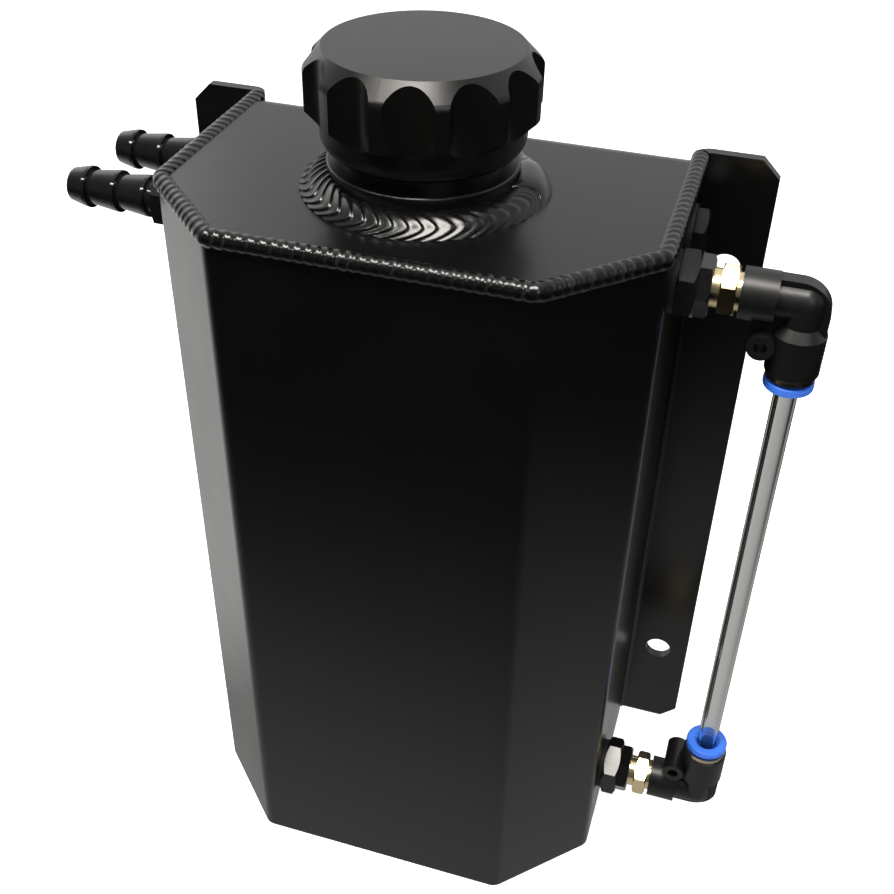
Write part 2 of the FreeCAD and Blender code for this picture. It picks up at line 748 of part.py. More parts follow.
def build_elbow(label, port_name, spin):
    """Moulded elbow: Z is the stud's axis and the tube's socket runs along X at the reach."""
    body = start_body(label)
    barrel = [("0", "0", "elbow_barrel / 2")]
    pad(body, circles(sketch_on(body, "XY_Plane", lift=ELBOW_START), barrel), "elbow_barrel_length")
    neck = [("0", "0", "elbow_tube / 2")]
    neck_length = f"elbow_reach - {ELBOW_BARREL_END}"
    pad(body, circles(sketch_on(body, "XY_Plane", lift=ELBOW_BARREL_END), neck), neck_length)

    socket_lip_start = "socket_end - socket_lip"
    socket = [
        ("-elbow_tube / 2", "0", "elbow_tube / 2", "right"),
        ("0", "elbow_tube / 2"),
        ("cone_start", "elbow_tube / 2"),
        ("cone_end", "socket_dia / 2"),
        (socket_lip_start, "socket_dia / 2"),
        ("socket_end", "socket_dia / 2 - socket_lip"),
        ("socket_end", "0"),
    ]
    revolve(body, outline(sketch_on(body, "XZ_Plane", along="elbow_reach"), socket), "H_Axis")

    # A flat web runs round the outside of the bend and another one carries the eye inside it.
    web_out = "elbow_reach + socket_dia / 2 - socket_lip"
    web = [
        ("-web_rise", ELBOW_BARREL_END),
        ("cone_end", ELBOW_BARREL_END),
        ("cone_end", web_out),
        ("web_corner - web_rise", web_out, "web_corner", "left"),
        ("-web_rise", f"{web_out} - web_corner"),
    ]
    pad(body, outline(sketch_on(body, "XZ_Plane"), web), "web_thick", symmetric=True)
    eye_low = "eye_out - eye_dia / 2"
    tie = [("0", eye_low), ("eye_drop", eye_low), ("eye_drop", "elbow_reach"), ("0", "elbow_reach")]
    pad(body, outline(sketch_on(body, "XZ_Plane"), tie), "web_thick", symmetric=True)
    eye = [("eye_drop", "eye_out", "eye_dia / 2")]
    pad(body, circles(sketch_on(body, "XZ_Plane"), eye), "eye_length", symmetric=True)
    eye_hole = [("eye_drop", "eye_out", "eye_hole / 2")]
    pocket(body, circles(sketch_on(body, "XZ_Plane"), eye_hole), symmetric=True)

    pin_bore = [("0", "0", "spigot_pin / 2 + stud_fit")]
    pin_depth = "spigot_pin_length + stud_fit"
    pocket(body, circles(sketch_on(body, "XY_Plane", lift=ELBOW_START), pin_bore), pin_depth, upwards=True)
    flow = [("0", "0", "flow_bore / 2")]
    flow_length = f"elbow_reach - {ELBOW_START}"
    pocket(body, circles(sketch_on(body, "XY_Plane", lift=ELBOW_START), flow), flow_length, upwards=True)
    tube_radius = "tube_dia / 2 + tube_fit"
    sleeve_radius = "sleeve_dia / 2 + sleeve_fit"
    bores = [
        ("0", "0"),
        ("0", "flow_bore / 2"),
        ("tube_stop", "flow_bore / 2"),
        ("tube_stop", tube_radius),
        ("seal_seat", tube_radius),
        ("seal_seat", "seal_chamber / 2"),
        ("grip_seat", "seal_chamber / 2"),
        ("grip_seat", sleeve_radius),
        ("socket_end", sleeve_radius),
        ("socket_end", "0"),
    ]
    groove(body, outline(sketch_on(body, "XZ_Plane", along="elbow_reach"), bores), "H_Axis")
    set_on_port(body, port_name, spin)


def set_on_tube(body, upper):
    """Put a cartridge piece on the tube; its own Z runs from the elbow's axis towards the tube."""
    turn = HALF_TURN if upper else 0
    body.Placement = FreeCAD.Placement(
        FreeCAD.Vector(), FreeCAD.Rotation(FreeCAD.Vector(1, 0, 0), turn)
    )
    bind(body, "Placement.Base.x", f"{HALF_WIDTH} + elbow_reach")
    bind(body, "Placement.Base.y", "port_front")
    bind(body, "Placement.Base.z", PORT_HIGH if upper else "port_low")


def build_sleeve(label, upper):
    """Metal sleeve that closes the socket, with a flange on the elbow's end."""
    body = start_body(label)
    profile = [
        ("sleeve_bore / 2", SLEEVE_START),
        ("sleeve_dia / 2", SLEEVE_START),
        ("sleeve_dia / 2", "socket_end"),
        ("sleeve_flange / 2", "socket_end"),
        ("sleeve_flange / 2", SLEEVE_END),
        ("sleeve_bore / 2", SLEEVE_END),
    ]
    revolve(body, outline(sketch_on(body, "XZ_Plane"), profile))
    set_on_tube(body, upper)


def build_collar(label, upper):
    """Release collar: a rounded head outside and a stem that is pushed onto the grip ring."""
    body = start_body(label)
    stem = "sleeve_bore / 2 - collar_stem_fit"
    bore = "tube_dia / 2 + collar_stem_fit"
    head = f"({COLLAR_FOOT} + collar_thick)"
    mouth_depth = "(collar_mouth / 2 - tube_dia / 2 - collar_stem_fit)"
    profile = [
        (bore, f"{COLLAR_FOOT} - collar_stem_length"),
        (stem, f"{COLLAR_FOOT} - collar_stem_length"),
        (stem, COLLAR_FOOT),
        ("collar_dia / 2", COLLAR_FOOT),
        ("collar_dia / 2", head),
        ("collar_mouth / 2", head),
        (bore, f"{head} - {mouth_depth}"),
    ]
    turned = revolve(body, outline(sketch_on(body, "XZ_Plane"), profile))
    rims = ring_edges(turned, [("collar_dia / 2", COLLAR_FOOT), ("collar_dia / 2", head)])
    fillet(body, turned, rims, "collar_round")
    set_on_tube(body, upper)


def build_sight_tube():
    length = f"{PORT_HIGH} - port_low - 2 * tube_stop"
    body = build_ring("sight_tube", "tube_bore / 2", "tube_dia / 2", "tube_stop", length)
    set_on_tube(body, upper=False)


def build_ports():
    for port_name, *_ in PORTS:
        washer = build_ring(f"washer_{port_name}", "port_dia / 2", "washer_dia / 2", "0", "washer_thick")
        set_on_port(washer, port_name)
        bung = build_ring(f"bung_{port_name}", "port_dia / 2", "bung_dia / 2", PORT_INNER_END, "bung_length")
        set_on_port(bung, port_name)
    build_barb("barb_front", "barb_front")
    build_barb("barb_rear", "barb_rear")
    build_port_plug("port_plug", "plug")


def build_gauge():
    for end, spin in (("upper", 0), ("lower", HALF_TURN)):
        upper = end == "upper"
        build_adaptor(f"adaptor_{end}", f"gauge_{end}")
        build_stud(f"stud_{end}", f"gauge_{end}")
        build_elbow(f"elbow_{end}", f"gauge_{end}", spin)
        build_sleeve(f"sleeve_{end}", upper)
        build_collar(f"collar_{end}", upper)
        grip_hole = "tube_dia / 2 + tube_fit"
        set_on_tube(build_ring(f"grip_{end}", grip_hole, "sleeve_dia / 2", "grip_seat", "grip_thick"), upper)
        seal_rim = "seal_chamber / 2 - tube_fit"
        set_on_tube(build_ring(f"seal_{end}", grip_hole, seal_rim, "seal_seat", "seal_length"), upper)
    build_sight_tube()


def write_parts():
    """Check every object, then write each sub-part to its own file."""
    doc.recompute()
    for thing in doc.Objects:
        if {"Invalid", "Error"} & set(thing.State):
            raise RuntimeError(f"{thing.Label} failed: {thing.State}")
    for sub_part in sub_parts:
        shape = sub_part.Shape
        if shape.isNull() or not shape.isValid() or not shape.Solids or not shape.Volume > 0:
            raise RuntimeError(f"{sub_part.Label} has no valid shape")
    os.makedirs("parts", exist_ok=True)
    for sub_part in sub_parts:
        sub_part.Shape.exportStep(f"parts/{sub_part.Label}.step")


build_shell_wrap()
build_top_back_panel()
build_base_plate()
build_top_seam_weld()
build_rear_seam("rear_seam_right", 1)
build_rear_seam("rear_seam_left", -1)
build_filler_neck()
build_neck_weld()
build_filler_cap()
build_cap_oring()
build_ports()
build_gauge()
write_parts()
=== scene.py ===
import math
import random

import bmesh
import bpy
from bpy.props import FloatProperty, FloatVectorProperty, IntProperty, PointerProperty
from mathutils import Matrix, Vector


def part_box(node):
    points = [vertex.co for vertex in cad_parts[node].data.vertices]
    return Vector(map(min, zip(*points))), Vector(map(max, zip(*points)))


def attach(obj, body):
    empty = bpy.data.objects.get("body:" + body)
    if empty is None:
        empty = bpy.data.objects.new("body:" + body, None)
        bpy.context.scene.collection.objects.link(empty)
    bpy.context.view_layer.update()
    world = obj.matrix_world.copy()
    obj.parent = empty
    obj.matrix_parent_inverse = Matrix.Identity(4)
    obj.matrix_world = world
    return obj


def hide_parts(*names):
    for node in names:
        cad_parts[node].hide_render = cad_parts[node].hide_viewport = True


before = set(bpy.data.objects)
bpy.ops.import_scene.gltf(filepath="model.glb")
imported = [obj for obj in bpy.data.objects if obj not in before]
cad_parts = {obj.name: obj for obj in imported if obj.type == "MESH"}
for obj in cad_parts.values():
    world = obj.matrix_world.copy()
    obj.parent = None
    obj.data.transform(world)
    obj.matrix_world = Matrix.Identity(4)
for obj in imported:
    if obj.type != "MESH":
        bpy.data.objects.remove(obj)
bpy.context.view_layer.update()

bl_info = {
    "name": "Coolant expansion tank",
    "version": (1, 0, 0),
    "blender": (4, 5, 0),
    "location": "View3D > Sidebar > Tank",
    "description": "Dresses a welded coolant tank with its beads, threads, finishes and studio",
    "category": "Object",
}

base_low, base_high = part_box("base_plate")
tube_low, tube_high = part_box("sight_tube")
plate_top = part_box("top_back_panel")[1].z
neck_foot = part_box("filler_neck")[0].z
plug_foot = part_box("filler_cap")[0].z

FULL_TURN = 2 * math.pi
CORNER_TURN = math.radians(45)
SHARP_EDGE = math.radians(40)
MERGE_DISTANCE = 1e-7

# How a hand weld varies: shares of a ripple's width and height.
UNEVEN_WIDTH = 0.13
UNEVEN_HEIGHT = 0.22
RIPPLE_PHASES = tuple(number / 12 for number in range(12))
CRESCENT_POINT = 1.6

THREAD_STEPS = 72
TUBE_STEPS = 96

# Ends of the cloud mask that count, and the ripple height from which the tops of the ripples get a painted
# highlight.
CLOUD_ENDS = (0.25, 0.75)
CREST_HIGHLIGHT_START = 0.7

# The floor as the glossy pieces mirror it: two pools of light, each with its dark and bright end.
FRONT_POOL_X = (0.34, 0.02)
FRONT_POOL_Y = (-0.26, -0.03)
FRONT_POOL_FALL = 1.25
FRONT_POOL_GLOW = 0.46
LEFT_POOL_X = (-0.02, -0.16)
LEFT_POOL_Y = (-0.14, 0.0)

FLOOR_HALF = 6
FLOOR_GAP = 0.0002
FLOOR_GREY = (0.8, 0.8, 0.8, 1)
FLOOR_GLOW = 0.86

# The room as the glossy pieces mirror it, from the dark front to the pale wall behind.
WALL_ENDS = (-0.35, 0.55)
WALL_TONES = (0.09, 0.78)

# Name, place, width, height, watts and colour of each lamp.
LAMPS = (
    ("ceiling_lamp", (-0.1, -0.25, 1.2), 0.66, 0.35, 16.5, (1.0, 0.96, 0.9)),
    ("spot_lamp", (-0.67, -0.52, 1.1), 0.1, 0.1, 1.6, (1.0, 0.98, 0.94)),
    ("left_softbox", (-1.0, 0.9, 0.8), 0.8, 0.8, 1.5, (1.0, 0.97, 0.92)),
    ("front_fill", (0.9, -1.2, 1.3), 1.0, 1.0, 5.0, (0.96, 0.98, 1.0)),
)
LAMP_AIM = Vector((0, 0, 0.12))


def length(name, description, default):
    return FloatProperty(name=name, description=description, default=default, unit="LENGTH", precision=5)


def angle(name, description, degrees):
    return FloatProperty(name=name, description=description, default=math.radians(degrees), subtype="ANGLE")


def number(name, description, default):
    return FloatProperty(name=name, description=description, default=default)


def tint(name, description, default):
    return FloatVectorProperty(
        name=name, description=description, default=default, subtype="COLOR", min=0, max=1
    )


class TankSeamSizes(bpy.types.PropertyGroup):
    """Beads that join the sheets."""

    corner_cut: length("Corner cut", "How far each front corner is cut back", 0.0248)
    bend: length("Bend", "Outer radius of the folded wall", 0.0045)
    ear_bend: length("Ear bend", "Inner radius of the fold at the ear", 0.0015)
    bead_inset: length("Bead inset", "Bead's middle, in from the top edge", 0.001204)
    bead_radius: length("Bead radius", "Radius of the bead over its crests", 0.0025)
    arc_middle: angle("Arc middle", "Where the bead's arc faces, up from level", 45)
    arc_half: angle("Arc half", "How far the arc goes to either side of its middle", 118)
    ripple_pitch: length("Ripple pitch", "Distance from ripple to ripple", 0.0027)
    ripple_depth: length("Ripple depth", "Drop from a crest to its valley", 0.00024)
    ripple_bulge: length("Ripple bulge", "How far a ripple's middle runs ahead of its ends", 0.0026)
    crest_at: number("Crest at", "Where in its pitch a ripple is highest", 0.62)
    rear_radius: length("Rear bead radius", "Radius of the upright beads", 0.004)
    rear_reach: number("Rear bead reach", "Arc of an upright bead as a share of what shows", 1.2)
    rear_bulge: length("Rear ripple bulge", "How far an upright ripple's middle runs ahead", 0.00156)


class TankNeckBeadSizes(bpy.types.PropertyGroup):
    """Wide bead round the filler neck."""

    centre_radius: length("Centre radius", "Middle of the bead's arc, from the neck's axis", 0.024726)
    centre_drop: length("Centre drop", "Middle of the bead's arc, below the plate", 0.002319)
    bead_radius: length("Bead radius", "Radius of the bead's arc over its crests", 0.0065)
    arc_middle: angle("Arc middle", "Where the bead's arc faces, up from level", 61)
    arc_half: angle("Arc half", "How far the arc goes to either side of its middle", 50)
    ripple_count: IntProperty(name="Ripples", description="Crescents round the neck", default=50, min=8)
    ripple_depth: length("Ripple depth", "Drop from a crest to its valley", 0.00042)
    ripple_bulge: length("Ripple bulge", "How far a crescent's middle runs ahead of its ends", 0.0085)
    crest_at: number("Crest at", "Where in its pitch a ripple is highest", 0.83)
    crescent_lean: number("Crescent lean", "How far a crescent's tip leans off the bead's middle", 0.25)
    blob_turn: angle("Blob turn", "Where the weld ends", 6)
    blob_out: length("Blob out", "Middle of the end blob from the neck's axis", 0.027)
    blob_along: length("Blob along", "Length of the end blob along the bead", 0.0165)
    blob_lift: length("Blob lift", "How far the end blob stands above the crests", 0.0011)
    blob_calm: length("Blob calm", "How far from the blob the ripples fade", 0.003)


class TankThreadSizes(bpy.types.PropertyGroup):
    """Screw thread between the cap's plug and the neck."""

    pitch: length("Pitch", "Rise of the thread in one turn", 0.002)
    plug_radius: length("Plug radius", "Root of the thread on the plug", 0.0156)
    plug_start: length("Plug start", "First ridge above the plug's end", 0.0017)
    plug_turns: number("Plug turns", "Turns of thread on the plug", 4)
    bore_radius: length("Bore radius", "Root of the thread in the neck", 0.017)
    bore_start: length("Bore start", "First ridge above the neck's lower end", 0.0022)
    bore_turns: number("Bore turns", "Turns of thread in the neck", 6)
    ridge_height: length("Ridge height", "Height of either thread", 0.0011)
    ridge_foot: length("Ridge foot", "Width of a ridge at its root", 0.0012)
    ridge_crest: length("Ridge crest", "Width of a ridge at its top", 0.0003)
    ridge_sink: length("Ridge sink", "How deep a ridge is set in its root", 0.0002)


class TankTubeSizes(bpy.types.PropertyGroup):
    """Clear tube of the sight gauge."""

    wall: length("Wall", "Wall of the tube", 0.001)
    edge: length("Edge", "Softened edge at each end", 0.0002)
    refraction: number("Refraction", "How strongly the tube bends light", 1.3)


class TankFinishTints(bpy.types.PropertyGroup):
    """Colours of the finishes."""

    coat: tint("Coat", "Black powder coat on the sheets", (0.0032, 0.0032, 0.0033))
    # Bead crest is a painted highlight: a lighter colour on the tops of the weld ripples, standing in for
    # their glints.
    crest: tint("Bead crest", "Painted highlight on the tops of the weld ripples", (0.016, 0.015, 0.014))
    anodised: tint("Anodised", "Black anodised cap and neck", (0.0040, 0.0038, 0.0036))
    fitting: tint("Fitting", "Black finish of the turned fittings", (0.0060, 0.0061, 0.0068))
    moulded: tint("Moulded", "Black plastic of the elbows", (0.0062, 0.0062, 0.0062))
    brass: tint("Brass", "Studs", (0.93, 0.77, 0.46))
    sleeve: tint("Sleeve", "Plated rings behind the collars", (0.80, 0.66, 0.45))
    collar: tint("Collar", "Blue release collars", (0.045, 0.205, 0.930))
    tube: tint("Tube", "Clear sight tube", (0.985, 0.990, 0.980))
    bare: tint("Bare metal", "Bare aluminium inside the tank", (0.62, 0.62, 0.61))
    rubber: tint("Rubber", "Seals and washers", (0.008, 0.008, 0.008))
    steel: tint("Steel", "Grip rings", (0.55, 0.56, 0.57))


class TankStageSettings(bpy.types.PropertyGroup):
    """Studio."""

    camera_place: FloatVectorProperty(
        name="Camera place",
        description="Where the camera stands",
        default=(0.085617, -0.264962, 0.349917),
        subtype="TRANSLATION",
        unit="LENGTH",
    )
    camera_azimuth: angle("Azimuth", "Turn to the right of the front", 16.409)
    camera_elevation: angle("Elevation", "Tilt down", 37.247)
    camera_roll: angle("Roll", "Turn of the picture", 1.295)
    lens: number("Lens", "Focal length in millimetres", 48.885)


def mesh_object(name, bm, material, body):
    """Finishes a bmesh as a smooth piece that rides on a body."""
    mesh = bpy.data.meshes.new(name)
    bm.normal_update()
    bm.to_mesh(mesh)
    bm.free()
    for face in mesh.polygons:
        face.use_smooth = True
    piece = bpy.data.objects.new(name, mesh)
    bpy.context.scene.collection.objects.link(piece)
    mesh.materials.append(material)
    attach(piece, body)
    return piece


def close_up(bm):
    bmesh.ops.remove_doubles(bm, verts=bm.verts, dist=MERGE_DISTANCE)
    bmesh.ops.recalc_face_normals(bm, faces=bm.faces)


def across_bead(half):
    """Even places across a bead, from -1 to 1."""
    return [step / half for step in range(-half, half + 1)]


def run_bead(bm, spans, stations, place):
    """Extrudes a row of vertices from station to station; place gives each one's spot."""
    # crest keeps each vertex's ripple height; the bead's material uses it to paint a highlight on the ripple
    # tops.
    crest = bm.verts.layers.float.new("crest")
    row = [bm.verts.new((0, 0, 0)) for _ in spans]
    edges = [bm.edges.new(pair) for pair in zip(row, row[1:])]
    rows = []
    for step, station in enumerate(stations):
        if step:
            grown = bmesh.ops.extrude_edge_only(bm, edges=edges)["geom"]
            fresh = {item for item in grown if isinstance(item, bmesh.types.BMVert)}
            row = [onward_vert(vert, fresh) for vert in row]
            edges = [bm.edges.get(pair) for pair in zip(row, row[1:])]
        for vert, span in zip(row, spans):
            vert.co = place(span, station)
            vert[crest] = station[-1]
        rows.append(edges)
    return rows


def onward_vert(vert, fresh):
    """The new vertex that an extrusion grew from this one."""
    return next(edge.other_vert(vert) for edge in vert.link_edges if edge.other_vert(vert) in fresh)


def fill_ends(bm, rows):
    """Closes a bead at its first and its last row."""
    for row in (rows[0], rows[-1]):
        first = next(vert for vert in row[0].verts if vert not in row[1].verts)
        last = next(vert for vert in row[-1].verts if vert not in row[-2].verts)
        bmesh.ops.edgeloop_fill(bm, edges=[*row, bm.edges.new((first, last))])


def ripple(phase, crest_at):
    """Height of a weld ripple, 0 in the valley and 1 on the crest, over one pitch."""
    if phase < crest_at:
        return math.sin(phase / crest_at * math.pi / 2) ** 2
    return math.cos((phase - crest_at) / (1 - crest_at) * math.pi / 2) ** 2


def crescent(span, lean):
    """How far ahead a ripple is at a place across its bead; its tip leans off the middle."""
    reach = 1 + lean if span < lean else 1 - lean
    return 1 - abs((span - lean) / reach) ** CRESCENT_POINT


def ripple_stations(run, pitch, crest_at, seed):
    """(distance, ripple height) along a run, with the small unevenness of a hand weld."""
    hand = random.Random(seed)
    count = max(1, round(run / pitch))
    widths = [1 + hand.uniform(-UNEVEN_WIDTH, UNEVEN_WIDTH) for _ in range(count)]
    scale = run / sum(widths)
    stations = []
    start = 0.0
    for width in widths:
        lift = 1 - hand.uniform(0, UNEVEN_HEIGHT)
        for phase in RIPPLE_PHASES:
            stations.append((start + phase * width * scale, ripple(phase, crest_at) * lift))
        start += width * scale
    stations.append((run, 0.0))
    return stations


def group_tree(name, inputs, outputs):
    """A shader node group with named float sockets."""
    tree = bpy.data.node_groups.new(name, "ShaderNodeTree")
    for label, default in inputs:
        socket = tree.interface.new_socket(name=label, in_out="INPUT", socket_type="NodeSocketFloat")
        socket.default_value = default
    for label in outputs:
        tree.interface.new_socket(name=label, in_out="OUTPUT", socket_type="NodeSocketFloat")
    return tree, tree.nodes.new("NodeGroupInput"), tree.nodes.new("NodeGroupOutput")


def math_node(tree, operation, first, second):
    node = tree.nodes.new("ShaderNodeMath")
    node.operation = operation
    for socket, given in zip(node.inputs, (first, second)):
        if isinstance(given, (int, float)):
            socket.default_value = given
        else:
            tree.links.new(given, socket)
    return node.outputs[0]


def noise_of_size(tree, size, detail, rough):
    """Noise in the piece's own space, with spots of the size that a socket gives."""
    node = tree.nodes.new("ShaderNodeTexNoise")
    node.inputs["Detail"].default_value = detail
    node.inputs["Roughness"].default_value = rough
    tree.links.new(tree.nodes.new("ShaderNodeTexCoord").outputs["Object"], node.inputs["Vector"])
    tree.links.new(math_node(tree, "DIVIDE", 1.0, size), node.inputs["Scale"])
    return node.outputs["Fac"]


def surface_grain():
    """Fine grain over soft waves, as a height; and a cloudy mask for tone and gloss."""
    if "surface_grain" in bpy.data.node_groups:
        return bpy.data.node_groups["surface_grain"]
    tree, given, put = group_tree(
        "surface_grain",
        [("Grain size", 0.0005), ("Wave size", 0.004), ("Wave share", 0.4), ("Cloud size", 0.03)],
        ["Height", "Clouds"],
    )
    fine = noise_of_size(tree, given.outputs["Grain size"], 2.0, 0.55)
    waves = noise_of_size(tree, given.outputs["Wave size"], 1.0, 0.4)
    raised = math_node(tree, "MULTIPLY", waves, given.outputs["Wave share"])
    tree.links.new(math_node(tree, "ADD", fine, raised), put.inputs["Height"])
    tree.links.new(noise_of_size(tree, given.outputs["Cloud size"], 4.0, 0.6), put.inputs["Clouds"])
    return tree


def mapped(tree, mask, ends, values=(0.0, 1.0), soft=False):
    """Takes a mask from its two ends to two values."""
    node = tree.nodes.new("ShaderNodeMapRange")
    node.interpolation_type = "SMOOTHSTEP" if soft else "LINEAR"
    node.inputs["From Min"].default_value, node.inputs["From Max"].default_value = ends
    node.inputs["To Min"].default_value, node.inputs["To Max"].default_value = values
    tree.links.new(mask, node.inputs["Value"])
    return node.outputs["Result"]


def two_tones(tree, mask, first, second):
    """Mixes two colours; the Mix node's colour sockets share their names, so they go by number."""
    node = tree.nodes.new("ShaderNodeMix")
    node.data_type = "RGBA"
    tree.links.new(mask, node.inputs[0])
    for socket, given in ((node.inputs[6], first), (node.inputs[7], second)):
        if isinstance(given, bpy.types.NodeSocket):
            tree.links.new(given, socket)
        else:
            socket.default_value = (*given, 1)
    return node.outputs[2]


def lighter(colour, factor):
    return tuple(min(1.0, part * factor) for part in colour)


def grained_material(name, colour, gloss, grain, depth, metallic=0.0, variation=1.35, crest=None):
    """A finish with clouded tone, uneven gloss and a grain in its surface.

    gloss is the range of roughness; grain holds the size of the grain, the size and share of its
    waves and the size of the clouds; depth is how high the grain stands; crest, if given, is a painted
    highlight on the tops of weld ripples.
    """
    material = bpy.data.materials.new(name)
    material.use_nodes = True
    tree = material.node_tree
    shader = tree.nodes["Principled BSDF"]
    shader.inputs["Metallic"].default_value = metallic
    group = tree.nodes.new("ShaderNodeGroup")
    group.node_tree = surface_grain()
    for label, size in zip(("Grain size", "Wave size", "Wave share", "Cloud size"), grain):
        group.inputs[label].default_value = size
    clouds = group.outputs["Clouds"]
    tone = two_tones(tree, clouds, lighter(colour, 1 / variation), lighter(colour, variation))
    # Painted highlight: the crest colour is mixed in on the highest part of each weld ripple.
    if crest:
        mark = tree.nodes.new("ShaderNodeAttribute")
        mark.attribute_name = "crest"
        tone = two_tones(tree, mapped(tree, mark.outputs["Fac"], (CREST_HIGHLIGHT_START, 1.0)), tone, crest)
    tree.links.new(tone, shader.inputs["Base Color"])
    tree.links.new(mapped(tree, clouds, CLOUD_ENDS, gloss), shader.inputs["Roughness"])
    bump = tree.nodes.new("ShaderNodeBump")
    bump.inputs["Strength"].default_value = 1.0
    bump.inputs["Distance"].default_value = depth
    tree.links.new(group.outputs["Height"], bump.inputs["Height"])
    tree.links.new(bump.outputs["Normal"], shader.inputs["Normal"])
    return material


def dress(material, *nodes):
    """Puts a finish on CAD nodes that keep their shape."""
    for node in nodes:
        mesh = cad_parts[node].data
        mesh.materials.clear()
        mesh.materials.append(material)


class TANK_OT_sheet_metal(bpy.types.Operator):
    """Coats the folded sheets and leaves the bungs inside bare"""

    bl_idname = "tank.sheet_metal"
    bl_label = "Sheet metal"

    def execute(self, context):
        tints = context.scene.tank_tints
        coat = grained_material(
            "powder_coat",
            tints.coat,
            gloss=(0.22, 0.28),
            grain=(0.00045, 0.0035, 0.5, 0.04),
            depth=0.00002,
        )
        dress(coat, "shell_wrap", "top_back_panel", "base_plate")
        bare = grained_material(
            "bare_aluminium",
            tints.bare,
            gloss=(0.32, 0.45),
            grain=(0.0004, 0.003, 0.4, 0.02),
            depth=0.00002,
            metallic=1.0,
        )
        dress(bare, *(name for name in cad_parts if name.startswith("bung_")))
        return {"FINISHED"}


def bead_material(context):
    if "weld_bead" in bpy.data.materials:
        return bpy.data.materials["weld_bead"]
    tints = context.scene.tank_tints
    # The weld's black coat, with a painted highlight on the tops of its ripples.
    return grained_material(
        "weld_bead",
        tints.coat,
        gloss=(0.17, 0.28),
        grain=(0.0005, 0.002, 0.5, 0.01),
        depth=0.000015,
        crest=tints.crest,
    )


class TANK_OT_top_seam(bpy.types.Operator):
    """Lays the rope-like bead along the top edge"""

    bl_idname = "tank.top_seam"
    bl_label = "Top seam"

    def execute(self, context):
        sizes = context.scene.tank_seam
        legs = self.legs(sizes)
        lengths = [(leg[2] - leg[1]).length if leg[0] == "run" else sizes.bend * CORNER_TURN for leg in legs]
        run = sum(lengths)

        def spot(distance):
            """Place and direction at a distance along the seam."""
            for leg, reach in zip(legs, lengths):
                if distance <= reach or leg is legs[-1]:
                    break
                distance -= reach
            if leg[0] == "run":
                ahead = (leg[2] - leg[1]).normalized()
                return leg[1] + ahead * distance, ahead
            turn = Matrix.Rotation(distance / sizes.bend, 3, "Z")
            inwards = Vector((-leg[2].y, leg[2].x, 0))
            return leg[1] + (inwards - turn @ inwards) * sizes.bend, turn @ leg[2]

        def place(span, station):
            distance, height = station
            middle, ahead = spot(min(max(distance - sizes.ripple_bulge * span**2, 0), run))
            outwards = Vector((ahead.y, -ahead.x, 0))
            facing = sizes.arc_middle + sizes.arc_half * span
            radius = sizes.bead_radius - sizes.ripple_depth * (1 - height)
            out = radius * math.cos(facing) - sizes.bead_inset
            up = radius * math.sin(facing) - sizes.bead_inset
            return middle + outwards * out + Vector((0, 0, up))

        bm = bmesh.new()
        stations = ripple_stations(run + sizes.ripple_bulge, sizes.ripple_pitch, sizes.crest_at, seed=4)
        rows = run_bead(bm, across_bead(11), stations, place)
        fill_ends(bm, rows)
        close_up(bm)
        piece = mesh_object("top_seam_bead", bm, bead_material(context), "tank")
        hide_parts("top_seam_weld")
        return {"FINISHED"}

    def legs(self, sizes):
        """Straight runs with both ends, and the turns between them with their start and direction."""
        side, front = base_high.x, base_low.y
        here = Vector((-side, base_high.y - sizes.ear_bend, plate_top))
        corners = [
            Vector((-side, front + sizes.corner_cut, plate_top)),
            Vector((-side + sizes.corner_cut, front, plate_top)),
            Vector((side - sizes.corner_cut, front, plate_top)),
            Vector((side, front + sizes.corner_cut, plate_top)),
        ]
        stop = Vector((side, here.y, plate_top))
        cut_back = sizes.bend * math.tan(CORNER_TURN / 2)
        legs = []
        for corner, following in zip(corners, [*corners[1:], stop]):
            ahead = (corner - here).normalized()
            bend_start = corner - ahead * cut_back
            legs.append(("run", here, bend_start))
            legs.append(("turn", bend_start, ahead))
            here = corner + (following - corner).normalized() * cut_back
        legs.append(("run", here, stop))
        return legs


class TANK_OT_rear_seams(bpy.types.Operator):
    """Lays the upright beads that close the back"""

    bl_idname = "tank.rear_seams"
    bl_label = "Rear seams"

    def execute(self, context):
        for name, hand in (("rear_seam_left", -1), ("rear_seam_right", 1)):
            piece = self.bead(context, name, hand)
            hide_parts(name)
        return {"FINISHED"}

    def bead(self, context, name, hand):
        """One upright bead, worked out on the right and mirrored where the hand is -1."""
        sizes = context.scene.tank_seam
        low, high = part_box(name)
        inner = Vector((min(abs(low.x), abs(high.x)), low.y, 0))
        outer = Vector((max(abs(low.x), abs(high.x)), high.y, 0))
        chord = outer - inner
        reach = math.sqrt(sizes.rear_radius**2 - (chord.length / 2) ** 2)
        outwards = Vector((-chord.y, chord.x, 0)).normalized()
        centre = (inner + outer) / 2 - outwards * reach
        first = math.atan2((inner - centre).y, (inner - centre).x)
        last = math.atan2((outer - centre).y, (outer - centre).x)
        rise = high.z - low.z

        def place(span, station):
            distance, height = station
            facing = (first + last) / 2 + (first - last) / 2 * sizes.rear_reach * span
            radius = sizes.rear_radius - sizes.ripple_depth * (1 - height)
            climb = min(max(distance - sizes.rear_bulge * span**2, 0), rise)
            spot = centre + radius * Vector((math.cos(facing), math.sin(facing), 0))
            return Vector((hand * spot.x, spot.y, low.z + climb))

        bm = bmesh.new()
        stations = ripple_stations(rise + sizes.rear_bulge, sizes.ripple_pitch, sizes.crest_at, seed=9)
        rows = run_bead(bm, across_bead(6), stations, place)
        fill_ends(bm, rows)
        close_up(bm)
        return mesh_object(name + "_bead", bm, bead_material(context), "tank")


